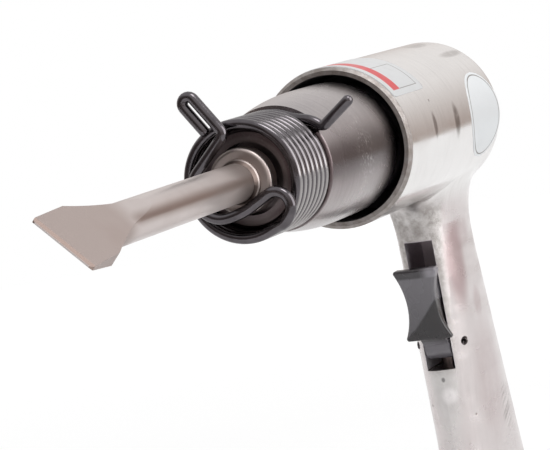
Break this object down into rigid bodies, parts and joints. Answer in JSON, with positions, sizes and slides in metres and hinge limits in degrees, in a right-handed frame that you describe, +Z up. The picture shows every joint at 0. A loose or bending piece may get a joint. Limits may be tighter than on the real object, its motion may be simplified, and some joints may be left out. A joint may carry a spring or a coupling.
{
  "type": "air hammer",
  "caption": "Pistol-grip air hammer: cast housing, flared steel barrel, bent-wire spring that holds a flat chisel, squeeze trigger, throttle valve and threaded air inlet in the handle.",
  "frame": {"origin": "centre of the air inlet's mouth at the base of the handle", "axes": "+X along the barrel towards the chisel, +Y to the operator's left, +Z up from the inlet towards the barrel"},
  "size_m": [0.2649, 0.0482, 0.1489],
  "materials": {
    "cast_aluminium": "polished casting",
    "barrel_steel": "satin turned",
    "spring_steel": "black oxide",
    "chisel_steel": "ground satin",
    "trigger_metal": "satin dark grey",
    "machined_steel": "machined",
    "valve_brass": "machined",
    "seal_rubber": "matte"
  },
  "bodies": {
    "tool_body": {"housing": "cast_aluminium", "barrel": "barrel_steel", "barrel_seal": "seal_rubber", "valve_front": "machined_steel", "valve_rear": "machined_steel", "valve_dowels": "machined_steel", "rear_gasket": "seal_rubber", "retaining_spring": "spring_steel", "trigger_pin": "spring_steel", "throttle_bush": "valve_brass", "stem_seal": "seal_rubber", "throttle_spring": "spring_steel", "inlet_bushing": "machined_steel", "inlet_gasket": "seal_rubber", "inlet_strainer": "valve_brass"},
    "trigger_lever": {"trigger": "trigger_metal"},
    "throttle_valve": {"throttle_stem": "machined_steel", "poppet_seal": "seal_rubber"},
    "hammer_piston": {"piston": "machined_steel"},
    "switch_plate": {"valve_plate": "machined_steel"},
    "chisel_tool": {"chisel": "chisel_steel"}
  },
  "joints": [
    {"name": "trigger_pivot", "type": "hinge", "parent": "tool_body", "child": "trigger_lever", "pos_m": [0.0126, 0, 0.056], "axis": [0, -1, 0], "range_deg": [0, 7], "stiffness_Nm_per_rad": 0.5, "springref_deg": -14.32},
    {"name": "throttle_slide", "type": "slide", "parent": "tool_body", "child": "throttle_valve", "axis": [0, 0, -1], "range_m": [0, 0.00155], "deforming": ["throttle_spring"]},
    {"name": "piston_slide", "type": "slide", "parent": "tool_body", "child": "hammer_piston", "axis": [1, 0, 0], "range_m": [0, 0.04]},
    {"name": "valve_plate_slide", "type": "slide", "parent": "tool_body", "child": "switch_plate", "axis": [1, 0, 0], "range_m": [-0.0003, 0.0003]},
    {"name": "chisel_slide", "type": "slide", "parent": "tool_body", "child": "chisel_tool", "axis": [1, 0, 0], "range_m": [-0.0057, 0.001]}
  ],
  "couplings": [
    {"joint": "throttle_slide", "follows": "trigger_pivot", "m_per_rad": 0.0126}
  ]
}
